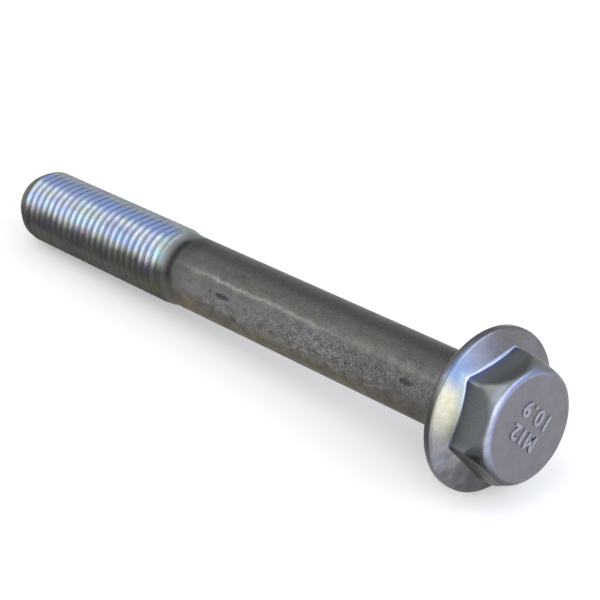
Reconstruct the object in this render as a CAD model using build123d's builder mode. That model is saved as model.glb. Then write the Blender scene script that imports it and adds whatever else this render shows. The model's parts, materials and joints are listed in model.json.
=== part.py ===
"""Flange bolt with a fine thread, lying on its flange rim and its point.

Millimetres, +Z up. The bolt lies along X with its point at -X. The floor is Z = 0, and the origin is
on it, under the middle of the bolt.

It is one cold-forged piece, and so one solid: a reduced plain shank, a rolled thread shown as a
cylinder at crest diameter, a conical flange with a rolled rim, and a hexagon with rounded edges
under a turned crown.
"""

import os
from math import atan2, cos, radians, sin, tan

from build123d import *

# Shank and thread
length_under_head = 100.0
shank_diameter = 11.05
crest_diameter = 11.8
thread_length = 36.8
run_out_length = 1.6
point_diameter = 9.0
point_length = 2.5
under_head_round = 0.8

# Flange
flange_diameter = 23.0
rim_height = 1.4
flange_slope = 22.0
rim_lower_chamfer = 0.4
rim_upper_round = 0.35

# Hexagon and its crown
head_height = 8.0
across_flats = 16.0
hexagon_edge_round = 1.1
hexagon_base_round = 0.2
face_diameter = 14.4
crown_round = 1.05
crown_slope = 67.0

# How far the hexagon is turned about the bolt from having a flat straight up
hexagon_turn = 8.0

shank_radius = shank_diameter / 2
crest_radius = crest_diameter / 2
point_radius = point_diameter / 2
flange_radius = flange_diameter / 2
face_radius = face_diameter / 2

# The floor touches the end of the thread's cylinder and the lower edge of the flange rim, so the
# axis rises from the point to the head by the angle of the line through both.
thread_start = length_under_head - point_length
tilt = atan2(flange_radius - crest_radius, thread_start + rim_lower_chamfer)
seat_height = flange_radius * cos(tilt) - rim_lower_chamfer * sin(tilt)

# Reach of the bolt along X to each side of the middle of its bearing face
reach_to_point = length_under_head * cos(tilt) + point_radius * sin(tilt)
reach_to_crown = (head_height - crown_round) * cos(tilt) + face_radius * sin(tilt) + crown_round

# The middle of the bearing face, the direction from the point to the head, and the direction square
# to it that looks up
seat = Vector((reach_to_point - reach_to_crown) / 2, 0, seat_height)
along = Vector(cos(tilt), 0, sin(tilt))
upward = Vector(-sin(tilt), 0, cos(tilt))
bolt_axis = Axis(seat, along)

# Half sections are drawn with the radius along local X, and along local Y the height over the
# bearing face. The hexagon is drawn square to the axis, with local X looking up.
half_section = Plane(origin=seat, x_dir=upward, z_dir=(0, 1, 0))
across_bolt = Plane(origin=seat, x_dir=upward, z_dir=along)

# From the middle of a hexagon's flat to its corner, in degrees
flat_to_corner = 30.0

# The flange's upper face goes on as a cone inside the hexagon, up to this height on the axis
cone_top = rim_height + flange_radius * tan(radians(flange_slope))

with BuildPart() as flange_bolt:
    # Hexagon with rounded upright edges, rising from inside the flange
    with BuildSketch(across_bolt.offset(rim_height / 2)):
        RegularPolygon(across_flats / 2, 6, major_radius=False, rotation=flat_to_corner + hexagon_turn)
        fillet(vertices(), radius=hexagon_edge_round)
    extrude(amount=head_height - rim_height / 2)

    # Crown: a flat face, a rounded rim, and a steep turned slope that cuts the hexagon's edges
    with BuildSketch(half_section):
        with BuildLine():
            rim = JernArc((face_radius, head_height), (1, 0), crown_round, -crown_slope)
            slope_length = (rim @ 1).Y / sin(radians(crown_slope))
            slope = PolarLine(rim @ 1, slope_length, direction=rim % 1)
            Polyline(slope @ 1, (0, 0), (0, head_height), rim @ 0)
        make_face()
    revolve(axis=bolt_axis, mode=Mode.INTERSECT)

    # Flange, shank, thread and point in one half section
    with BuildSketch(half_section):
        with BuildLine():
            Polyline(
                (0, cone_top),
                (flange_radius, rim_height),
                (flange_radius, 0),
                (shank_radius, 0),
                (shank_radius, thread_length + run_out_length - length_under_head),
                (crest_radius, thread_length - length_under_head),
                (crest_radius, -thread_start),
                (point_radius, -length_under_head),
                (0, -length_under_head),
                close=True,
            )
        make_face()
        fillet(vertices().sort_by_distance((flange_radius, rim_height))[0], rim_upper_round)
        chamfer(vertices().sort_by_distance((flange_radius, 0))[0], rim_lower_chamfer)
        fillet(vertices().sort_by_distance((shank_radius, 0))[0], under_head_round)
    revolve(axis=bolt_axis)

    # Small round where the hexagon meets the flange's upper face
    fillet(edges(Select.NEW), radius=hexagon_base_round)

flange_bolt.part.label = "flange_bolt"

os.makedirs("parts", exist_ok=True)
export_step(flange_bolt.part, "parts/flange_bolt.step")
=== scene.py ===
import json
import math

import bmesh
import bpy
import numpy as np
from mathutils import Matrix, Vector


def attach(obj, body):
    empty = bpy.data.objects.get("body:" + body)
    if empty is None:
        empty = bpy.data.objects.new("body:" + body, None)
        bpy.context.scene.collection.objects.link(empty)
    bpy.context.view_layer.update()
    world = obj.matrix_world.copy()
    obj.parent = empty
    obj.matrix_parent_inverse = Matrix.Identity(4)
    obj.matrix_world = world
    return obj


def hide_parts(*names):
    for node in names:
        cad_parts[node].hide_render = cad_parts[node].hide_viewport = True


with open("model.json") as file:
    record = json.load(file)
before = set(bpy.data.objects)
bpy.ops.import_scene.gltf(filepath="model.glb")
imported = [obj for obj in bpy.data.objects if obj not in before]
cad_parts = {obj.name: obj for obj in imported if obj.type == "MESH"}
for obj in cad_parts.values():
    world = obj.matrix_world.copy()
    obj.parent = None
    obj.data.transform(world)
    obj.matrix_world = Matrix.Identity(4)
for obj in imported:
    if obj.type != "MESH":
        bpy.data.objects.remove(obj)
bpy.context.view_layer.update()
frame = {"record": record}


# How the bolt lies: on the rim of its flange and the end of its thread, with its axis tipped a little.
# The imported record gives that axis: the bearing face's plane square to it, and the thread's middle on it.
mounts = {mount["name"]: mount for mount in frame["record"]["mounts"]}
along = -Vector(mounts["bearing_face"]["axis"]).normalized()
on_axis = Vector(mounts["thread"]["pos_m"])
on_bearing_face = Vector(mounts["bearing_face"]["pos_m"])
seat = on_axis + along * (on_bearing_face - on_axis).dot(along)
tilt = math.atan2(along.z, along.x)
millimetre = 0.001
bolt_to_room = Matrix.Translation(seat) @ Matrix.Rotation(-tilt, 4, "Y") @ Matrix.Scale(millimetre, 4)


# The blank: one length of steel bar, its head forged in a die and its thread rolled on the other end.
# It is drawn as rings of points about the axis. A ring's height is in millimetres up from the bearing
# face, and each point's azimuth turns from straight up, right-handed about the way to the head.
corner_count = 6
degrees_per_corner = 60
first_corner = math.radians(38.0)
from_corner = [-30, -25, -20, -15.5, -11.5, -8.5, -6.5, -5.2, -4.2, -3.2, -2.2, -1.1,
               0, 1.1, 2.2, 3.2, 4.2, 5.2, 6.5, 8.5, 11.5, 15.5, 20, 25]
azimuths = np.array([first_corner + math.radians(degrees_per_corner * corner + step)
                     for corner in range(corner_count) for step in from_corner])
column_count = len(azimuths)

points = []
faces = []
face_finishes = []
finish_order = ["rolled thread", "drawn shank", "forged flange", "hexagon side", "head face"]


def add_ring(height, radius):
    """Adds one point for each azimuth and gives the number of the first."""
    start = len(points)
    heights = np.broadcast_to(np.asarray(height, float), (column_count,))
    radii = np.broadcast_to(np.asarray(radius, float), (column_count,))
    for x, r, turn in zip(heights, radii, azimuths):
        points.append((x, -r * math.sin(turn), r * math.cos(turn)))
    return start


def add_face(corners, finish):
    """Adds one face with its finish."""
    faces.append(corners)
    face_finishes.append(finish_order.index(finish))


def join_rings(lower, upper, finish):
    """Fills the band between two rings with four-sided faces."""
    for column in range(column_count):
        following = (column + 1) % column_count
        add_face((lower + column, lower + following, upper + following, upper + column), finish)


def add_bands(below, profile, finish):
    """Carries the surface on through (height, radius) rings and gives the last ring."""
    for height, radius in profile:
        ring = add_ring(height, radius)
        join_rings(below, ring, finish)
        below = ring
    return below


def close_with_disc(ring, height, finish):
    """Closes a ring with a fan of triangles to a point on the axis."""
    centre = len(points)
    points.append((height, 0.0, 0.0))
    for column in range(column_count):
        add_face((ring + column, ring + (column + 1) % column_count, centre), finish)


def arc(centre_height, centre_radius, size, begin, end, steps):
    """Gives the (height, radius) rings of a round: its angles turn from outward towards the head."""
    turns = np.radians(np.linspace(begin, end, steps + 1))
    return [(centre_height + size * math.sin(t), centre_radius + size * math.cos(t)) for t in turns]


# The thread: M12 x 1.5, right-handed, rolled between dies, so its crests are rounded and the root is
# smooth. The dies leave a cone at the point and a shallow dish in its end, and run out over two turns
# into a fine neck where they stopped.
pitch = 1.5
crest_radius = 5.9
root_radius = 5.14
crest_height = -81.85
crest_azimuth = math.radians(60.35)
crest_half_width = 0.03
root_half_width = 0.11
point_height = -100.0
point_radius = 4.5
point_length = 2.5
thread_start = point_height + 0.15
thread_end = -58.8

# Where on a turn the rows of points lie, crest to crest, and how straight its flanks are
row_phases = [0, 0.045, 0.085, 0.15, 0.24, 0.33, 0.40, 0.5, 0.60, 0.67, 0.76, 0.85, 0.915, 0.955]
straight_share = 0.35

# The end's dish and rounded edge, as (depth, radius)
dish_depth = 0.3
end_profile = [(0.28, 0.8), (0.25, 1.7), (0.14, 2.6), (0.03, 3.3), (0.0, 3.7),
               (0.0, point_radius - 0.22), (0.04, point_radius - 0.05)]

# The run-out, as (height, radius) along the crests and along the roots. It isn't square to the axis:
# on the upper far side it comes up to 1.5 mm sooner.
crest_run_out = [(-63.1, crest_radius), (-62.3, 5.83), (-61.6, 5.64), (-60.8, 5.55), (-60.2, 5.525)]
root_run_out = [(-65.1, root_radius), (-64.4, 5.2), (-63.1, 5.38), (-62.0, 5.62), (-61.6, 5.62),
                (-60.8, 5.55), (-60.2, 5.525)]
signed_degrees = (np.degrees(azimuths) + 180) % 360 - 180
run_out_shift = np.interp(signed_degrees, [-180, -100, -40, 10, 180], [0, -0.8, -1.5, 0, 0])


def thread_radius(height):
    """Gives the radius of the threaded end at each azimuth."""
    turns = (height - crest_height) / pitch - (azimuths - crest_azimuth) / (2 * math.pi)
    off_crest = np.abs(turns - np.round(turns))
    flank = (off_crest - crest_half_width) / (0.5 - crest_half_width - root_half_width)
    flank = np.clip(flank, 0, 1)
    rounded = flank * flank * (3 - 2 * flank)
    fullness = 1 - (straight_share * flank + (1 - straight_share) * rounded)
    crest = np.interp(height - run_out_shift, *zip(*crest_run_out))
    root = np.interp(height - run_out_shift, *zip(*root_run_out))
    cone = point_radius + (height - point_height) * (crest_radius - point_radius) / point_length
    return np.minimum(root + (np.maximum(crest, root) - root) * fullness, cone)


end_rings = [(point_height + depth, radius) for depth, radius in end_profile]
dish = add_ring(*end_rings[0])
close_with_disc(dish, point_height + dish_depth, "rolled thread")
point_edge = add_bands(dish, end_rings[1:], "rolled thread")

# One row follows another along the helix. Rows that would start before the thread or pass its end are
# pressed flat there, and each turn's last column meets the next turn's first.
turns_before = math.ceil((crest_height - thread_start) / pitch) + 2
turn_count = turns_before + math.ceil((thread_end - crest_height) / pitch) + 3
rise = (azimuths - crest_azimuth) / (2 * math.pi)
helix = []
for turn_number in range(turn_count):
    for phase in row_phases:
        height = crest_height + (turn_number - turns_before + phase + rise) * pitch
        height = np.clip(height, thread_start, thread_end)
        helix.append(add_ring(height, thread_radius(height)))
for low, high in zip(helix, helix[1:]):
    for column in range(column_count - 1):
        add_face((low + column, low + column + 1, high + column + 1, high + column), "rolled thread")
one_turn = len(row_phases)
last_column = column_count - 1
for row in range(len(helix) - one_turn - 1):
    low, high = helix[row] + last_column, helix[row + 1] + last_column
    add_face((low, helix[row + one_turn], helix[row + one_turn + 1], high), "rolled thread")
join_rings(point_edge, helix[0], "rolled thread")


# The shank: plain drawn bar, a little thinner than the crests, with a small round under the head.
shank_radius = 5.525
under_head_round = 0.8
shank_rings = [(height, shank_radius) for height in np.linspace(thread_end, -under_head_round, 30)[1:]]
shank_top = add_bands(helix[-1], shank_rings, "drawn shank")
neck_round = arc(-under_head_round, shank_radius + under_head_round, under_head_round, 180, 90, 6)[1:]
bearing_inner = add_bands(shank_top, neck_round, "drawn shank")


# The flange: a washer-like collar forged with the head. Its upper side slopes 22 degrees up to
# the hexagon, and its rim is rolled round by the die.
flange_radius = 11.5
flange_slope_degrees = 22.0
flange_slope = math.radians(flange_slope_degrees)
rim_height = 1.4
rim_lower_round = 0.5
rim_upper_round = 0.35
cone_pull = math.tan(flange_slope)
rim_upper_centre = flange_radius - rim_upper_round
rim_upper_height = rim_height + rim_upper_round * cone_pull - rim_upper_round / math.cos(flange_slope)


def cone_height(radius):
    """Gives the height of the flange's sloping side."""
    return rim_height + (flange_radius - radius) * cone_pull


bearing_rings = [(0, radius) for radius in (7.2, 8.4, 9.6, 10.6)]
lower_round = arc(rim_lower_round, flange_radius - rim_lower_round, rim_lower_round, -90, 0, 6)
rim_bottom = add_bands(bearing_inner, bearing_rings + lower_round, "forged flange")
upper_round = arc(rim_upper_height, rim_upper_centre, rim_upper_round, 0, 90 - flange_slope_degrees, 7)
rim_top = add_bands(rim_bottom, upper_round, "forged flange")


# The hexagon: 16 mm across its flats, with the soft upright edges that a forging die leaves and a
# small round where it stands on the flange.
half_across_flats = 8.0
hexagon_edge_round = 1.1
hexagon_base_round = 0.2
flat_to_corner = math.radians(degrees_per_corner / 2)
edge_centre = (half_across_flats - hexagon_edge_round) / math.cos(flat_to_corner)
off_corner = np.array([abs(math.radians(step)) for _ in range(corner_count) for step in from_corner])
flat_radius = half_across_flats / np.cos(flat_to_corner - off_corner)
off_centre = edge_centre * np.sin(off_corner)
edge_reach = np.sqrt(np.maximum(hexagon_edge_round ** 2 - off_centre ** 2, 0))
edge_radius = edge_centre * np.cos(off_corner) + edge_reach
on_edge = off_centre < hexagon_edge_round * math.sin(flat_to_corner)
hexagon_radius = np.where(on_edge, edge_radius, flat_radius)

round_centre = hexagon_radius + hexagon_base_round
round_height = cone_height(round_centre) + hexagon_base_round / math.cos(flange_slope)
base_start = round_centre - hexagon_base_round * math.sin(flange_slope)
cone_start = rim_upper_centre + rim_upper_round * math.sin(flange_slope)
cone_rings = []
for share in np.linspace(0, 1, 9)[1:-1]:
    radius = (1 - share) * cone_start + share * base_start
    cone_rings.append((cone_height(radius), radius))
cone_top = add_bands(rim_top, cone_rings, "forged flange")
base_rings = []
for lean in np.linspace(flange_slope, math.pi / 2, 8):
    base_rings.append((round_height - hexagon_base_round * np.cos(lean),
                       round_centre - hexagon_base_round * np.sin(lean)))
cone_top = add_bands(cone_top, base_rings[:1], "forged flange")
base_top = add_bands(cone_top, base_rings[1:], "hexagon side")


# The crown: the die cuts the hexagon's upper corners back in one turned slope, which flows round
# into the flat face of the head.
head_height = 8.0
face_radius = 7.2
crown_round = 1.05
crown_slope = math.radians(67.0)
crown_start = head_height - crown_round * (1 - math.cos(crown_slope))
crown_radius = face_radius + crown_round * math.sin(crown_slope)
soft_width = 0.22
rings_on_face = 3


def softer_of(first, second):
    """Gives the smaller of two radii, with the crease between them rounded."""
    overlap = np.maximum(soft_width - np.abs(first - second), 0) / soft_width
    return np.minimum(first, second) - overlap * overlap * soft_width / 4


side_rings = []
for share in np.linspace(0, 1, 45)[1:]:
    height = (1 - share) * round_height + share * crown_start
    cut_back = crown_radius + (crown_start - height) / math.tan(crown_slope)
    side_rings.append((height, softer_of(hexagon_radius, cut_back)))
side_top = add_bands(base_top, side_rings, "hexagon side")
crown_rings = []
for lean in np.linspace(crown_slope, 0, 12)[1:]:
    radius = face_radius + crown_round * math.sin(lean)
    height = head_height - crown_round * (1 - math.cos(lean))
    crown_rings.append((height, softer_of(hexagon_radius, np.full(column_count, radius))))
crown_top = add_bands(side_top, crown_rings[:-rings_on_face], "hexagon side")
face_edge = add_bands(crown_top, crown_rings[-rings_on_face:], "head face")
face_rings = [(head_height, radius) for radius in (7.0, 6.4, 5.4, 4.1, 2.8, 1.4)]
face_middle = add_bands(face_edge, face_rings, "head face")
close_with_disc(face_middle, head_height, "head face")

bolt_mesh = bpy.data.meshes.new("flange_bolt_body")
bolt_mesh.from_pydata(points, [], faces)
bolt_mesh.polygons.foreach_set("material_index", face_finishes)
weld_distance = 0.0004
weld = bmesh.new()
weld.from_mesh(bolt_mesh)
bmesh.ops.remove_doubles(weld, verts=weld.verts, dist=weld_distance)
bmesh.ops.recalc_face_normals(weld, faces=weld.faces)
weld.to_mesh(bolt_mesh)
weld.free()
bolt_mesh.transform(bolt_to_room)
bolt_mesh.shade_smooth()
bolt = bpy.data.objects.new("flange_bolt_body", bolt_mesh)
bpy.context.scene.collection.objects.link(bolt)
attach(bolt, "root")
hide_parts("flange_bolt")


# The coating: a thin bright zinc plate that was passivated, so it has faint blue, straw and violet
# tints. It is dull on drawn steel and bright where dies have rolled it. Each finish is built up in
# layers, and a colour is three numbers, for red, green and blue.
def put(tree, kind, inputs=None, **settings):
    """Adds a node to a tree. An input is a plain value, a colour or a layer."""
    node = tree.nodes.new(kind)
    for name, value in settings.items():
        setattr(node, name, value)
    for name, value in (inputs or {}).items():
        socket = node.inputs[name]
        if isinstance(value, Layer):
            tree.links.new(value.output, socket)
        elif socket.type == "RGBA":
            socket.default_value = (*value, 1.0)
        else:
            socket.default_value = value
    return node


def layer(tree, kind, inputs=None, output=0, **settings):
    """Adds a node and gives one of its outputs as a layer."""
    return Layer(tree, put(tree, kind, inputs, **settings).outputs[output])


def blend(share, first, second, way="MIX"):
    """Gives the mix of two colours."""
    tree = share.tree if isinstance(share, Layer) else first.tree
    values = {0: share, 6: first, 7: second}
    return layer(tree, "ShaderNodeMix", values, 2, data_type="RGBA", blend_type=way)


class Layer:
    """A number or colour that changes over the surface: what one node gives out."""

    def __init__(self, tree, output):
        self.tree = tree
        self.output = output

    def worked(self, operation, *others):
        """Gives the outcome of a Math node that starts from this number."""
        values = dict(enumerate((self, *others)))
        return layer(self.tree, "ShaderNodeMath", values, operation=operation)

    def __add__(self, other):
        return self.worked("ADD", other)

    def __sub__(self, other):
        return self.worked("SUBTRACT", other)

    def __rsub__(self, other):
        return layer(self.tree, "ShaderNodeMath", {0: other, 1: self}, operation="SUBTRACT")

    def __mul__(self, other):
        return self.worked("MULTIPLY", other)

    def __truediv__(self, other):
        return self.worked("DIVIDE", other)

    def __pow__(self, other):
        return self.worked("POWER", other)

    def __abs__(self):
        return self.worked("ABSOLUTE")

    def at_least(self, other):
        """Gives the larger of two numbers."""
        return self.worked("MAXIMUM", other)

    def ramp(self, low, high, least=0.0, most=1.0):
        """Gives a smooth step from least to most as this number goes from low to high."""
        limits = {"Value": self, "From Min": low, "From Max": high, "To Min": least, "To Max": most}
        return layer(self.tree, "ShaderNodeMapRange", limits, interpolation_type="SMOOTHSTEP")

    def stretched(self, lengthwise, crosswise):
        """Gives this place scaled along the bolt's axis and across it."""
        scales = (lengthwise, crosswise, crosswise)
        return layer(self.tree, "ShaderNodeVectorMath", {0: self, 1: scales}, operation="MULTIPLY")

    def noise(self, scale, detail, roughness):
        """Gives the grey value of a Noise texture at this place."""
        values = {"Vector": self, "Scale": scale, "Detail": detail, "Roughness": roughness}
        return layer(self.tree, "ShaderNodeTexNoise", values, "Fac")

    def shaded(self, shade):
        """Gives this colour made lighter or darker by a number."""
        return layer(self.tree, "ShaderNodeVectorMath", {0: self, 1: shade}, operation="MULTIPLY")

    def covered(self, share, colour):
        """Gives this colour with a share of another laid over it."""
        return blend(share, self, colour)

    def tinted(self, share, colour):
        """Gives this colour with a share of it multiplied by another."""
        return blend(share, self, colour, "MULTIPLY")


def shared_effect(name, takes, gives):
    """Starts a node group with named inputs and outputs."""
    group = bpy.data.node_groups.new(name, "ShaderNodeTree")
    for in_out, sockets in (("INPUT", takes), ("OUTPUT", gives)):
        for socket, kind in sockets.items():
            group.interface.new_socket(socket, in_out=in_out, socket_type="NodeSocket" + kind)
    return group


def inputs_of(group):
    """Gives a node group's inputs as layers."""
    return {socket.name: Layer(group, socket) for socket in put(group, "NodeGroupInput").outputs}


# A point's place on the bolt, in the bolt's own millimetres and degrees
place = shared_effect("place on the bolt", {}, {"Millimetres": "Vector", "Height": "Float",
                                                "Azimuth": "Float", "Radius": "Float"})
in_room = layer(place, "ShaderNodeTexCoord", output="Object")
lying = {"Vector": in_room, "Location": seat, "Rotation": (0, -tilt, 0), "Scale": (millimetre,) * 3}
in_bolt = layer(place, "ShaderNodeMapping", lying, vector_type="TEXTURE")
parts = put(place, "ShaderNodeSeparateXYZ", {0: in_bolt}).outputs
lengthwise, sideways, upwards = [Layer(place, part) for part in parts]
towards = sideways * -1.0
put(place, "NodeGroupOutput", {"Millimetres": in_bolt, "Height": lengthwise,
                               "Azimuth": towards.worked("ARCTAN2", upwards).worked("DEGREES"),
                               "Radius": (towards * towards + upwards * upwards).worked("SQRT")})

# The coated steel itself: blotches, drawn lines, pits, grain and tint
tint_places = [0.30, 0.42, 0.50, 0.58, 0.70]
tint_colours = [(0.62, 0.78, 1.0), (0.84, 0.80, 1.0), (1.0, 0.98, 0.97), (0.86, 1.0, 0.94),
                (1.0, 0.94, 0.66)]
steel = shared_effect(
    "coated steel",
    {"Millimetres": "Vector", "Steel": "Color", "Stain": "Color", "Stain Share": "Float",
     "Blotch Scale": "Float", "Drawn Lines": "Float", "Pits": "Float", "Tint": "Float",
     "Smoothest": "Float", "Roughest": "Float"},
    {"Colour": "Color", "Roughness": "Float", "Relief": "Float"})
given = inputs_of(steel)
millimetres = given["Millimetres"]
blotch = millimetres.noise(given["Blotch Scale"], 4.0, 0.62)
drawn = millimetres.stretched(0.06, 1.0).noise(2.6, 3.0, 0.6)
grain = millimetres.noise(7.0, 2.0, 0.6)
cells = {"Vector": millimetres.stretched(0.5, 1.0), "Scale": 0.55, "Randomness": 1.0}
pit_distance = layer(steel, "ShaderNodeTexVoronoi", cells, "Distance") + grain * 0.22
pit_size = blotch.ramp(0.42, 0.62) * 0.14
pit = pit_distance.ramp(pit_size + 0.10, pit_size + 0.02) * given["Pits"]
stained = blotch.ramp(0.38, 0.66) * given["Stain Share"]
line_shade = drawn.ramp(0.3, 0.7, -0.5, 0.5) * given["Drawn Lines"] + 1.0
shade = line_shade * grain.ramp(0.3, 0.7, 0.93, 1.07) * (1.0 - pit * 0.62)
tint_noise = millimetres.stretched(0.6, 1.0).noise(0.42, 3.0, 0.55)
tints = put(steel, "ShaderNodeValToRGB", {"Fac": tint_noise})
bands = tints.color_ramp.elements
bands[0].position = tint_places[0]
bands[1].position = tint_places[-1]
for tint_place in tint_places[1:-1]:
    bands.new(tint_place)
for band, tint_colour in zip(bands, tint_colours):
    band.color = (*tint_colour, 1.0)
tint = Layer(steel, tints.outputs["Color"])
plated = blend(stained, given["Steel"], given["Stain"]).shaded(shade)
dullness = blotch.ramp(0.35, 0.65) * 0.6 + drawn.ramp(0.3, 0.7) * 0.4
roughness = given["Smoothest"] + dullness * (given["Roughest"] - given["Smoothest"])
relief = grain * 0.25 + drawn * given["Drawn Lines"] - pit
put(steel, "NodeGroupOutput", {"Colour": plated.tinted(given["Tint"], tint), "Roughness": roughness,
                               "Relief": relief})

# Painted shade on the side that lies down: a brown darkening from one azimuth to another with an uneven
# edge
painted_underside_shade = shared_effect(
    "painted underside shade",
    {"Colour": "Color", "Millimetres": "Vector", "Azimuth": "Float", "Start": "Float", "Full": "Float",
     "Wander": "Float", "Strength": "Float"},
    {"Colour": "Color"})
given = inputs_of(painted_underside_shade)
underside_shade_brown = (0.10, 0.085, 0.06)
wander = given["Millimetres"].noise(0.35, 3.0, 0.55).ramp(0.3, 0.7, -1.0, 1.0) * given["Wander"]
shade_share = (abs(given["Azimuth"]) + wander).ramp(given["Start"], given["Full"]) * given["Strength"]
put(painted_underside_shade, "NodeGroupOutput", {"Colour": given["Colour"].tinted(shade_share, underside_shade_brown)})


class Finish:
    """One finish of the bolt: a material, with each point's place on the bolt."""

    def __init__(self, name):
        self.material = bpy.data.materials.new(name)
        self.material.use_nodes = True
        self.tree = self.material.node_tree
        self.tree.nodes.clear()
        where = put(self.tree, "ShaderNodeGroup", node_tree=place).outputs
        self.place = [Layer(self.tree, output) for output in where]
        self.millimetres, self.height, self.azimuth, self.radius = self.place

    def coat(self, values):
        """Gives the coated steel's colour, roughness and relief for these values."""
        values = {"Millimetres": self.millimetres, **values}
        outputs = put(self.tree, "ShaderNodeGroup", values, node_tree=steel).outputs
        return [Layer(self.tree, output) for output in outputs]

    def shade_underside(self, colour, start, full, strength, wander=12.0):
        """Gives a colour darkened by painted shade on the side that lies down."""
        values = {"Colour": colour, "Millimetres": self.millimetres, "Azimuth": self.azimuth,
                  "Start": start, "Full": full, "Strength": strength, "Wander": wander}
        return layer(self.tree, "ShaderNodeGroup", values, node_tree=painted_underside_shade)

    def end(self, colour, roughness, relief, depth, metal=1.0):
        """Ends the finish in a plain metal shader, its relief this many millimetres deep."""
        bump = layer(self.tree, "ShaderNodeBump",
                     {"Height": relief, "Distance": depth * millimetre, "Strength": 1.0})
        shader = layer(self.tree, "ShaderNodeBsdfPrincipled",
                       {"Base Color": colour, "Roughness": roughness, "Metallic": metal, "Normal": bump})
        put(self.tree, "ShaderNodeOutputMaterial", {"Surface": shader})
        return self.material


# The rolled thread's finish: bright and smooth on the flanks, with painted shade down in the root, on
# the far side and along the lower side, painted light in the gaps along the top, a painted blue
# reflection along the upper side, a dull point painted dark, and a dark ring in the neck. Its tints
# change round the bolt, so on the underside they go back to those of the far side, and no seam shows.
reflected_blue = (0.10, 0.135, 0.26)
root_shade_grey = (0.23, 0.24, 0.215)
point_olive = (0.115, 0.106, 0.075)
point_top = (0.42, 0.37, 0.31)
point_brown = (0.34, 0.305, 0.24)
end_grey = (0.23, 0.23, 0.21)
dull_neck_grey = (0.27, 0.29, 0.27)
dark_neck_grey = (0.17, 0.172, 0.165)
ring_black = (0.026, 0.027, 0.026)
neck_dark = (0.07, 0.07, 0.068)

finish = Finish("rolled_thread")
height, azimuth, radius = finish.place[1:]
colour, roughness, relief = finish.coat(
    {"Steel": (0.50, 0.565, 0.66), "Stain": (0.38, 0.42, 0.50), "Stain Share": 0.5,
     "Blotch Scale": 0.35, "Drawn Lines": 0.06, "Pits": 0.0, "Tint": 0.95,
     "Smoothest": 0.28, "Roughest": 0.40})
under = azimuth.ramp(140, 178)
# Painted shade: the far side and the underside are darker and warmer.
colour = colour.tinted(azimuth.ramp(8, -10) + under, (0.86, 0.80, 0.73))
# Painted light and shade round the thread: the highlight band is tinted bluer and partly dimmed, and the
# lower side is darker and warmer.
bluer_highlight = azimuth.ramp(40, 50) * azimuth.ramp(64, 56)
colour = colour.tinted(bluer_highlight, (0.86, 0.98, 1.22))
dimmed_highlight = azimuth.ramp(24, 33) * azimuth.ramp(50, 42)
colour = colour.tinted(dimmed_highlight, (0.88, 0.87, 0.87))
lower_side_shade = azimuth.ramp(54, 68) - under
colour = colour.tinted(lower_side_shade, (0.74, 0.66, 0.60))
# A painted reflection: a deep blue band along the upper side, where the thread would mirror a cool light.
blue_reflection_top = azimuth.ramp(-16, 2) * azimuth.ramp(29, 10) * height.ramp(-62.9, -64.1)
colour = colour.covered(blue_reflection_top * 0.85, reflected_blue)
in_thread = height.ramp(-63, -65.5) * height.ramp(-99, -97.6)
# Painted shade down in the root, weak along the top and strongest on the near lower side.
root_shade_side = (azimuth.ramp(4, 64) - under).ramp(0, 1, 0.20, 0.80)
root_shade = radius.ramp(5.60, 5.26) * root_shade_side * in_thread * (1.0 - blue_reflection_top * 0.8)
colour = colour.covered(root_shade, root_shade_grey)
# Painted light in the gaps along the top: bluish and grey, and duller there.
gap_light = radius.ramp(5.75, 5.45) * azimuth.ramp(26, 4, 0.0, 0.9) * in_thread * azimuth.ramp(-60, -20)
gap_light_colour = blend(azimuth.ramp(2, -18), (0.29, 0.38, 0.64), (0.33, 0.355, 0.41))
colour = colour.covered(gap_light, gap_light_colour)
# The point is painted dark olive as shade, lighter on its upper far side as painted light, and brownish low
# on either side.
on_point = height.ramp(-97.6, -98.1, 0.0, 0.93)
point_colour = blend(azimuth.ramp(20, -8), point_olive, point_top)
point_colour = point_colour.covered(abs(azimuth).ramp(76, 102), point_brown)
colour = colour.covered(on_point, point_colour)
on_end = radius.ramp(4.5, 4.2)
colour = colour.covered(on_end, end_grey)
last_rib = height.ramp(-64.6, -63.2) * azimuth.ramp(12, 30)
colour = colour.tinted(last_rib, (0.95, 0.98, 0.80))
neck_height = height + azimuth.ramp(12, -40, 0.0, 1.5) + under * 1.5
neck_dullness = azimuth.ramp(0, 36, 0.5, 1.0) - under * 0.5
colour = colour.covered(neck_height.ramp(-62.4, -61.5) * neck_dullness, dull_neck_grey)
colour = colour.covered(neck_height.ramp(-61.6, -60.9) * neck_dullness, dark_neck_grey)
# A dark ring round the neck, darkest on the near upper side, and darker still just beside it towards the
# shank.
dark_ring = height.ramp(-61.2, -60.1) * height.ramp(-58.8, -59.7) * azimuth.ramp(98, 62, 0.12, 0.92)
colour = colour.covered(dark_ring * azimuth.ramp(-14, 16, 0.1, 1.0), ring_black)
beside_ring = height.ramp(-60.2, -59.2) * (azimuth.ramp(42, 14, 0.4, 0.72) + under * 0.32)
colour = colour.covered(beside_ring, neck_dark)
# Painted shade on the underside, weaker on the point and in the neck, and none on the end.
underside_shade_strength = height.ramp(-60.9, -61.7, 0.45, 0.80) * height.ramp(-98.3, -97.7, 0.45, 1.0)
colour = finish.shade_underside(colour, 61.0, 79.0, underside_shade_strength * radius.ramp(4.1, 4.4), 2.0)
off_end = radius.ramp(4.2, 4.5)
brown_side = (azimuth.ramp(76, 104) - under) * off_end
colour = colour.tinted(brown_side, (1.0, 0.96, 0.87))
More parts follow.
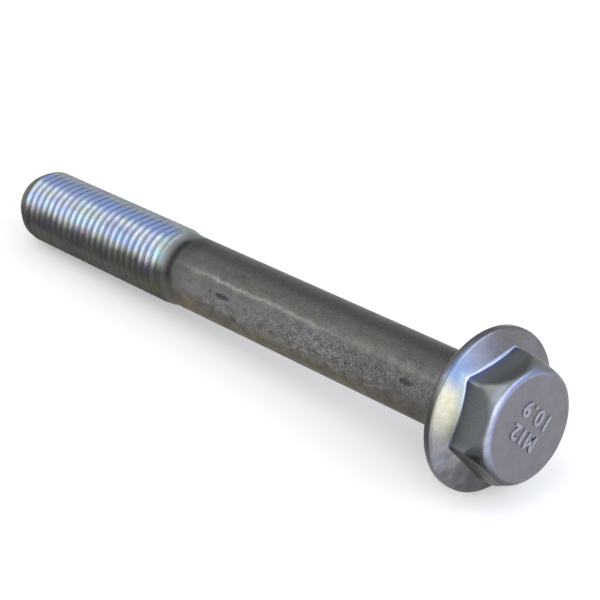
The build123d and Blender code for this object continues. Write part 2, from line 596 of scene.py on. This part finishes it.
# Painted shade: a darker band along the near lower side.
low_band_shade = azimuth.ramp(78, 88) * azimuth.ramp(105, 94) * in_thread
colour = colour.tinted(low_band_shade, (0.72, 0.72, 0.74))
roughness = roughness + (height.ramp(-63.2, -61.4, 0.0, 0.22) + gap_light * 0.25 + on_point * 0.3)
lit_matt = (azimuth.ramp(74, 60) + under) * off_end * 0.32
matt = on_point * 0.8 + root_shade * 0.35 + lit_matt + gap_light * 0.5
metal = (1.0 - matt).at_least(0.0)
bolt_mesh.materials.append(finish.end(colour, roughness, relief, 0.008, metal))


# The drawn shank's finish: dull grey-green with violet mottling and small dark dots low down, five
# pits, and a painted highlight along it in a broken line. Painted shade darkens its lower side and the
# corner under the head, and it browns towards the underside.
stain_violet = (0.192, 0.188, 0.202)
mottle_violet = (0.262, 0.252, 0.277)
smudge_violet = (0.085, 0.08, 0.088)
dot_grey = (0.065, 0.062, 0.066)
pit_grey = (0.045, 0.044, 0.05)
streak_grey = (0.36, 0.37, 0.335)
head_end_grey = (0.09, 0.088, 0.085)
corner_shade_grey = (0.05, 0.05, 0.048)

# The pits, as (height, azimuth, half length, half width in degrees, share of dark)
pits = [(-47.3, 69.3, 1.8, 4.6, 0.9), (-44.8, 98.5, 1.0, 4.5, 0.6), (-36.2, 87.0, 0.7, 3.0, 0.7),
        (-9.5, 67.7, 1.6, 6.0, 0.8), (-50.0, 67.8, 0.5, 2.6, 0.5)]

finish = Finish("drawn_shank")
millimetres, height, azimuth = finish.place[:3]
colour, roughness, relief = finish.coat(
    {"Steel": (0.190, 0.194, 0.180), "Stain": (0.145, 0.146, 0.142), "Stain Share": 0.6,
     "Blotch Scale": 0.55, "Drawn Lines": 0.08, "Pits": 0.5, "Tint": 0.10,
     "Smoothest": 0.42, "Roughest": 0.56})
under = azimuth.ramp(140, 178)
low_side = azimuth.ramp(40, 74) * azimuth.ramp(112, 88) * height.ramp(-58.8, -55)
# Painted shade: the lower side is darker and browner.
colour = colour.tinted((azimuth.ramp(66, 96) - under) * 0.75, (0.62, 0.56, 0.47))
blurred = millimetres.stretched(0.6, 1.0).noise(0.62, 3.0, 0.6).ramp(0.40, 0.60)
colour = colour.covered(blurred * low_side * height.ramp(-20, -50, 0.2, 0.75), stain_violet)
mottle = millimetres.stretched(0.8, 1.0).noise(1.5, 4.0, 0.75).ramp(0.46, 0.58)
patchy = millimetres.stretched(0.5, 1.0).noise(0.32, 2.0, 0.5).ramp(0.36, 0.60, 0.25, 1.0)
colour = colour.covered(mottle * low_side * patchy * height.ramp(-57, -26, 0.25, 1.0), mottle_violet)
# Painted light either side of a darker band along the top, at about 5 degrees, which stands for a dark
# reflection.
light_beside_dark_reflection = abs(azimuth - 5).ramp(5, 13) * azimuth.ramp(34, 24) * azimuth.ramp(-170, -110)
colour = colour.tinted(light_beside_dark_reflection, (1.12, 1.12, 1.12))
# Painted shade round a painted highlight on the near upper side.
shade_beside_streak = azimuth.ramp(26, 36) * azimuth.ramp(64, 56) * height.ramp(-32, -42, 0.3, 1.0)
colour = colour.tinted(shade_beside_streak, (0.87, 0.87, 0.87))
smudge = millimetres.stretched(0.6, 1.0).noise(1.1, 3.0, 0.65).ramp(0.47, 0.36)
colour = colour.covered(smudge * low_side * 0.5, smudge_violet)
sand_depth = height.ramp(-58.8, -44, 0.07, 0.22) + height.ramp(-44, -22, 0.0, 0.20) * low_side
colour = colour.shaded(millimetres.noise(4.5, 2.0, 0.7).ramp(0.32, 0.68, -1.0, 1.0) * sand_depth + 1.0)
dots = millimetres.stretched(0.8, 1.0).noise(3.6, 2.0, 0.6).ramp(0.44, 0.37)
colour = colour.covered(dots * low_side * height.ramp(-42, -20, 0.15, 0.95), dot_grey)

# The painted highlight: a bright, broken line that winds a little along the near upper side.
broken = millimetres.noise(2.6, 3.0, 0.7)
winding = millimetres.stretched(1.0, 0.15).noise(0.42, 2.0, 0.55)
line_azimuth = winding.ramp(0.3, 0.7, 46.8, 49.6) + broken.ramp(0.3, 0.7, -1.0, 1.0)
line_strength = height.ramp(-59, -46, 0.15, 1.0) * height.ramp(-18, -43, 0.18, 1.0)
streak_highlight = abs(azimuth - line_azimuth).ramp(5, 0) * broken.ramp(0.36, 0.60, 0.35, 1.0) * line_strength
colour = colour.covered(streak_highlight * 0.80, streak_grey)
# Darker on the shank just after the neck.
colour = colour.covered(height.ramp(-55.5, -58.8, 0.0, 0.38), neck_dark)

for pit_height, pit_azimuth, half_length, half_width, darkness in pits:
    off_pit = ((height - pit_height) / half_length) ** 2 + ((azimuth - pit_azimuth) / half_width) ** 2
    colour = colour.covered((off_pit + broken * 2.4).ramp(2.4, 1.3, 0.0, darkness), pit_grey)

# Painted shade in the corner under the head.
colour = colour.covered(height.ramp(-5, -0.6, 0.0, 0.55), corner_shade_grey)
near_head = height.ramp(-24, -8) * (azimuth.ramp(66, 84, 0.08, 0.58) - under * 0.5)
colour = colour.covered(near_head, head_end_grey)
# Painted shade on the underside.
colour = finish.shade_underside(colour, 84.0, 124.0, 0.42)
colour = colour.tinted(azimuth.ramp(92, 112) - under, (1.12, 1.0, 0.84))
brown_neck = (azimuth.ramp(80, 104) - under) * height.ramp(-50, -57, 0.0, 0.8)
colour = colour.tinted(brown_neck, (1.12, 0.97, 0.78))
bolt_mesh.materials.append(finish.end(colour, roughness, relief, 0.02))


# The forged flange's finish: plate with a blue and a straw patch side by side on its upper left, each
# partly passivation tint and partly painted reflection, the straw one a painted highlight; grey and
# scuffed elsewhere, with painted shade on the far side and underneath, a painted highlight along the
# hexagon's foot, and a dull dark band of painted shade round its rim.
near_grey = (0.275, 0.27, 0.295)
far_shade_grey = (0.115, 0.113, 0.118)
pale_blue = (0.385, 0.44, 0.61)
clear_blue = (0.205, 0.305, 0.57)
straw = (0.77, 0.745, 0.56)
foot_light_colour = (0.50, 0.59, 0.66)
foot_highlight_colour = (0.56, 0.64, 0.76)
edge_grey = (0.12, 0.13, 0.15)
rim_shade_grey = (0.05, 0.053, 0.056)
flat_middles = (-52.0, 8.0, 68.0, 128.0)

finish = Finish("forged_flange")
millimetres, height, azimuth, radius = finish.place
upper_side = height.ramp(0.5, 1.0)
# Blue and straw patches on the upper left, each partly passivation tint and partly painted reflection; the
# straw one is a painted highlight.
blue_reflection_side = azimuth.ramp(-6, 32) * azimuth.ramp(64, 44) * upper_side
straw_highlight_side = azimuth.ramp(40, 60) * azimuth.ramp(98, 62) * upper_side
# Painted shade: the far side and the underside are darker grey.
far_side = azimuth.ramp(10, -60, 0.0, 0.62) + azimuth.ramp(-42, -62, 0.0, 0.28)
under = azimuth.ramp(164, 180, 0.0, 0.90)
plate = blend(far_side + under, near_grey, far_shade_grey)
plate = plate.covered(blue_reflection_side * 0.85, blend(azimuth.ramp(16, 38), pale_blue, clear_blue))
plate = plate.covered(straw_highlight_side * 0.9, straw)
plate = plate.shaded(millimetres.noise(2.4, 4.0, 0.65).ramp(0.3, 0.7, 0.90, 1.08))
colour, roughness, relief = finish.coat(
    {"Steel": plate, "Stain": plate.tinted(1.0, (0.87, 0.86, 0.87)), "Stain Share": 0.7,
     "Blotch Scale": 0.7, "Drawn Lines": 0.05, "Pits": 0.15, "Tint": 0.35,
     "Smoothest": 0.27, "Roughest": 0.38})
foot_distance = -1.0
for flat_middle in flat_middles:
    off_middle = (azimuth - flat_middle).worked("RADIANS")
    reach = off_middle.worked("COSINE") * radius
    foot_distance = (reach - half_across_flats).at_least(foot_distance)
# Painted light on the flange beside the hexagon's foot, on the upper left.
foot_light = foot_distance.ramp(1.5, 0.2) * azimuth.ramp(16, 44) * azimuth.ramp(80, 56, 0.0, 0.6) * upper_side
colour = colour.covered(foot_light, foot_light_colour)
# A painted highlight: a bright line along the hexagon's foot, on the lit side.
line_width = azimuth.ramp(14, 34, 0.38, 0.17) * azimuth.ramp(-22, -6, 0.4, 1.0)
highlight_side = azimuth.ramp(-24, -16) * azimuth.ramp(86, 46) * upper_side
colour = colour.covered((foot_distance - line_width).ramp(0.05, -0.05) * highlight_side, foot_highlight_colour)
# Painted shade on the underside.
colour = finish.shade_underside(colour, 97.0, 147.0, 0.62)
edge_shade = radius.ramp(11.12, 11.28) * azimuth.ramp(26, 40) * azimuth.ramp(108, 92, 0.0, 0.45)
colour = colour.covered(edge_shade * upper_side, edge_grey)
# Painted shade: a dark band round the rim, standing for a dark floor that it mirrors, strongest on the
# sides and weaker low down.
around = abs(azimuth)
on_rim = (height - around.ramp(20, 80, 0.72, 1.25)).ramp(0.15, -0.15) * radius.ramp(11.2, 11.32)
rim_shade = around.ramp(20, 58, 0.12, 0.70) + around.ramp(60, 76, 0.0, 0.28)
less_rim_shade_low = around.ramp(86, 118, 0.0, 0.34)
colour = colour.covered(on_rim * (rim_shade - less_rim_shade_low), rim_shade_grey)
bolt_mesh.materials.append(finish.end(colour, roughness, relief, 0.010))


# The hexagon sides' finish: smooth greenish grey flats. The crown's slope and round and the small
# round at the foot carry painted highlights, with a painted blue fringe, and the upper flats are
# painted lighter low down. Painted shade darkens the left flat, and makes the flats, slope and crown
# that look down dark and brownish.
low_flat_light_grey = (0.32, 0.345, 0.37)
fringe_blue = (0.19, 0.205, 0.60)
foot_shade_grey = (0.12, 0.13, 0.14)
slope_olive = (0.27, 0.28, 0.235)
slope_light_colour = (0.31, 0.345, 0.41)
crown_pale = (0.40, 0.43, 0.53)
crown_blue = (0.295, 0.32, 0.43)
crown_violet = (0.27, 0.29, 0.56)

finish = Finish("hexagon_side")
millimetres, height, azimuth, radius = finish.place
colour, roughness, relief = finish.coat(
    {"Steel": (0.215, 0.225, 0.228), "Stain": (0.175, 0.182, 0.188), "Stain Share": 0.5,
     "Blotch Scale": 0.3, "Drawn Lines": 0.0, "Pits": 0.1, "Tint": 0.15,
     "Smoothest": 0.32, "Roughest": 0.42})
over_cone = height - (radius * -cone_pull + cone_height(0.0))
# Painted light: the upper flats are lighter grey low down.
low_flat_light = (azimuth.ramp(40, 34) + azimuth.ramp(155, 160)) * height.ramp(6.4, 4.4, 0.0, 0.8)
colour = colour.covered(low_flat_light, low_flat_light_grey)
highlight_side = azimuth.ramp(-44, -20) * azimuth.ramp(104, 88)
# A painted blue fringe just above the painted highlight at the foot.
blue_fringe = over_cone.ramp(0.62, 0.38, 0.0, 0.9) * highlight_side * azimuth.ramp(64, 44, 0.12, 1.0)
colour = colour.covered(blue_fringe, fringe_blue)
# Painted shade: the left flat is darker, most of all near its foot.
shaded_left_flat = azimuth.ramp(37, 42) * azimuth.ramp(104, 98)
colour = colour.tinted(shaded_left_flat, (0.84, 0.87, 0.89))
colour = colour.covered(over_cone.ramp(0.9, 0.3, 0.0, 0.45) * shaded_left_flat, foot_shade_grey)
# A painted highlight on the small round at the foot.
foot_highlight = over_cone.ramp(0.17, 0.07) * highlight_side * azimuth.ramp(84, 46, 0.0, 0.95)
colour = colour.covered(foot_highlight, foot_highlight_colour)
cut_back = height * (-1 / math.tan(crown_slope)) + (crown_radius + crown_start / math.tan(crown_slope))
on_slope = (radius - cut_back).ramp(-0.22, -0.03)
# Painted shade on the slopes that face down.
slope_shade = on_slope * azimuth.ramp(80, 94, 0.0, 0.8) * azimuth.ramp(178, 150)
colour = colour.tinted(slope_shade, (0.25, 0.25, 0.26))
# Painted light on the slopes of the upper left: olive at first, lighter towards the crown.
slope_light = on_slope * azimuth.ramp(84, 60) * azimuth.ramp(-60, 10)
colour = colour.covered(slope_light * 0.35, slope_olive)
colour = colour.covered(slope_light * height.ramp(6.2, 7.4, 0.0, 0.8), slope_light_colour)
# A painted highlight along the crown's round: pale and blue, broken up by noise, with a violet edge towards
# the face.
highlight_breakup = millimetres.noise(1.4, 3.0, 0.6).ramp(0.3, 0.62, 0.55, 0.95)
crown_highlight = height.ramp(7.25, 7.75) * azimuth.ramp(-60, 50) * azimuth.ramp(132, 84) * highlight_breakup
colour = colour.covered(crown_highlight, blend(azimuth.ramp(54, 32), crown_pale, crown_blue))
violet_highlight_edge = height.ramp(7.70, 7.92, 0.0, 0.7) * crown_highlight * azimuth.ramp(66, 36, 0.15, 1.0)
colour = colour.covered(violet_highlight_edge, crown_violet)
colour = colour.shaded(millimetres.noise(4.0, 2.0, 0.6).ramp(0.3, 0.7, 0.95, 1.05))
# Painted shade on the crown, flats and slopes that look down: darker and brownish.
crown_down = azimuth.ramp(90, 120) * height.ramp(6.6, 7.5, 0.0, 0.8) * azimuth.ramp(178, 150)
colour = colour.tinted(crown_down, (0.42, 0.40, 0.37))
flat_down = azimuth.ramp(95, 101) * height.ramp(7.5, 6.6) * azimuth.ramp(160, 155)
colour = colour.tinted(flat_down, (0.42, 0.39, 0.34))
slope_down = azimuth.ramp(102, 116) * azimuth.ramp(158, 146) * height.ramp(7.75, 7.45)
colour = colour.tinted(slope_down * height.ramp(6.2, 6.9), (0.55, 0.52, 0.50))
colour = colour.tinted(flat_down * height.ramp(5.0, 6.2, 0.0, 0.9), (0.56, 0.54, 0.53))
bolt_mesh.materials.append(finish.end(colour, roughness, relief, 0.01))


# The head face's finish: an even matte grey with a trace of violet, pressed flat by the die, and a
# painted blue fringe of the crown's highlight at its lit edge.
face_fringe_blue = (0.32, 0.35, 0.56)

finish = Finish("head_face")
colour, roughness, relief = finish.coat(
    {"Steel": (0.212, 0.204, 0.226), "Stain": (0.185, 0.178, 0.202), "Stain Share": 0.6,
     "Blotch Scale": 0.5, "Drawn Lines": 0.0, "Pits": 0.1, "Tint": 0.10,
     "Smoothest": 0.42, "Roughest": 0.50})
# A painted blue fringe of the crown's highlight at the face's lit edge.
face_fringe = finish.radius.ramp(7.0, 7.35) * finish.azimuth.ramp(-50, 0) * finish.azimuth.ramp(132, 84)
colour = colour.covered(face_fringe * 0.7, face_fringe_blue)
bolt_mesh.materials.append(finish.end(colour, roughness, relief, 0.012))


# The marks: the thread's size and the steel's strength class, raised on the face by figures sunk in
# the die, as the standard asks of such a bolt. They have the same plate, painted brighter than the
# face as a highlight where they stand proud of it.
mark_rise = 0.13
mark_sink = 0.12
mark_edge_round = 0.05
mark_boldness = 0.03
capital_share = 0.72
reading = (0.0, -0.70, 0.71)
upright = (0.0, -0.71, -0.70)
outward = (1.0, 0.0, 0.0)

# The marks' colour is a painted highlight, brighter and bluer than the face.
finish = Finish("mark_highlight")
colour, roughness, relief = finish.coat(
    {"Steel": (0.35, 0.355, 0.415), "Stain": (0.25, 0.252, 0.305), "Stain Share": 0.5,
     "Blotch Scale": 1.6, "Drawn Lines": 0.0, "Pits": 0.0, "Tint": 0.30,
     "Smoothest": 0.30, "Roughest": 0.45})
mark_finish = finish.end(colour, roughness, relief, 0.01)


def raise_mark(name, figures, height, spacing, across, down):
    """Raises one row of figures on the face, from its first foot."""
    curve = bpy.data.curves.new(name, "FONT")
    curve.body = figures
    curve.size = height / capital_share
    curve.space_character = spacing
    curve.extrude = (mark_rise + mark_sink) / 2
    curve.bevel_depth = mark_edge_round
    curve.bevel_resolution = 2
    curve.offset = mark_boldness
    drawn_mark = bpy.data.objects.new(name + "_curve", curve)
    bpy.context.scene.collection.objects.link(drawn_mark)
    bpy.context.view_layer.update()
    mesh = bpy.data.meshes.new_from_object(drawn_mark.evaluated_get(bpy.context.evaluated_depsgraph_get()))
    bpy.data.objects.remove(drawn_mark)
    turned = Matrix((reading, upright, outward)).transposed().to_4x4()
    middle = head_height + (mark_rise - mark_sink) / 2
    mesh.transform(bolt_to_room @ Matrix.Translation((middle, -down, across)) @ turned)
    mesh.materials.clear()
    mesh.materials.append(mark_finish)
    mark = bpy.data.objects.new(name, mesh)
    bpy.context.scene.collection.objects.link(mark)
    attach(mark, "root")


raise_mark("strength_mark", "10.9", 2.25, 1.25, -0.42, -4.40)
raise_mark("size_mark", "M12", 2.2, 1.10, -2.26, -1.52)


# The floor: a wide sheet of white paper. The camera and the metal see it as plain white, and it still
# takes the bolt's shadow.
floor_half = 3.0
paper_white = (0.86, 0.86, 0.86)
paper_lift = 0.30
floor_mesh = bpy.data.meshes.new("paper_floor")
floor_mesh.from_pydata([(-floor_half, -floor_half, 0), (floor_half, -floor_half, 0),
                        (floor_half, floor_half, 0), (-floor_half, floor_half, 0)], [], [(0, 1, 2, 3)])
floor = bpy.data.objects.new("paper_floor", floor_mesh)
bpy.context.scene.collection.objects.link(floor)
paper = bpy.data.materials.new("white_paper")
paper.use_nodes = True
tree = paper.node_tree
tree.nodes.clear()
rays = put(tree, "ShaderNodeLightPath").outputs
camera_ray, glossy_ray, transmission_ray = [
    Layer(tree, rays[name]) for name in ("Is Camera Ray", "Is Glossy Ray", "Is Transmission Ray")]
seen = camera_ray.at_least(glossy_ray).at_least(transmission_ray)
paper_shader = layer(tree, "ShaderNodeBsdfPrincipled",
                     {"Base Color": paper_white, "Roughness": 0.9, "Specular IOR Level": 0.0,
                      "Emission Color": (1, 1, 1), "Emission Strength": seen * paper_lift})
put(tree, "ShaderNodeOutputMaterial", {"Surface": paper_shader})
floor_mesh.materials.append(paper)


# The studio: an even grey room with one darker corner behind the bolt, and four softboxes that the
# camera doesn't see: a large one beyond the head, a cool one beside it, one overhead and one by the
# thread.
room_level = 0.58
corner_level = 0.30
dark_corner = (-0.67, 0.47, 0.57)
aim = Vector((0, 0, 0.01))
world = bpy.data.worlds.new("studio")
bpy.context.scene.world = world
world.use_nodes = True
tree = world.node_tree
tree.nodes.clear()
way = layer(tree, "ShaderNodeTexCoord", output="Generated")
facing = layer(tree, "ShaderNodeVectorMath", {0: way, 1: dark_corner}, "Value", operation="DOT_PRODUCT")
sky = layer(tree, "ShaderNodeBackground",
            {"Color": (1, 1, 1), "Strength": facing.ramp(0.78, 0.97, room_level, corner_level)})
put(tree, "ShaderNodeOutputWorld", {"Surface": sky})


def hang_softbox(name, azimuth_degrees, elevation_degrees, distance, width, height, radiance, colour):
    """Hangs a softbox that faces the bolt, at a plain radiance."""
    turn, rise = math.radians(azimuth_degrees), math.radians(elevation_degrees)
    away = Vector((math.cos(rise) * math.cos(turn), math.cos(rise) * math.sin(turn), math.sin(rise)))
    lamp = bpy.data.lights.new(name, "AREA")
    lamp.shape = "RECTANGLE"
    lamp.size = width
    lamp.size_y = height
    lamp.energy = radiance * math.pi * width * height
    lamp.color = colour
    box = bpy.data.objects.new(name, lamp)
    box.location = away * distance + aim
    box.rotation_euler = away.to_track_quat("Z", "Y").to_euler()
    box.visible_camera = False
    bpy.context.scene.collection.objects.link(box)


hang_softbox("head_softbox", -15, 24, 0.60, 0.70, 0.46, 2.1, (0.98, 0.99, 1.0))
hang_softbox("cool_softbox", 33, 36, 0.60, 0.22, 0.38, 2.5, (0.66, 0.79, 1.0))
hang_softbox("overhead_softbox", -80, 68, 0.65, 0.45, 0.45, 1.1, (1.0, 1.0, 1.0))
hang_softbox("side_softbox", -139, 33, 0.60, 0.20, 0.34, 2.0, (1.0, 1.0, 0.98))


# The camera: a long lens that looks down on the head end, as the photograph was taken. Its place is in
# millimetres from the middle of the bearing face.
from_seat = Vector((148.46, -165.27, 134.65))
degrees_down = 28.27
degrees_round = 48.16
camera_data = bpy.data.cameras.new("camera")
camera_data.lens = 118.4
camera_data.sensor_width = 36.0
camera_data.clip_start = 0.01
camera = bpy.data.objects.new("camera", camera_data)
camera.location = seat + from_seat * millimetre
camera.rotation_euler = (math.radians(90 - degrees_down), 0, math.radians(degrees_round))
bpy.context.scene.collection.objects.link(camera)
bpy.context.scene.camera = camera
bpy.context.scene.view_settings.view_transform = "Standard"
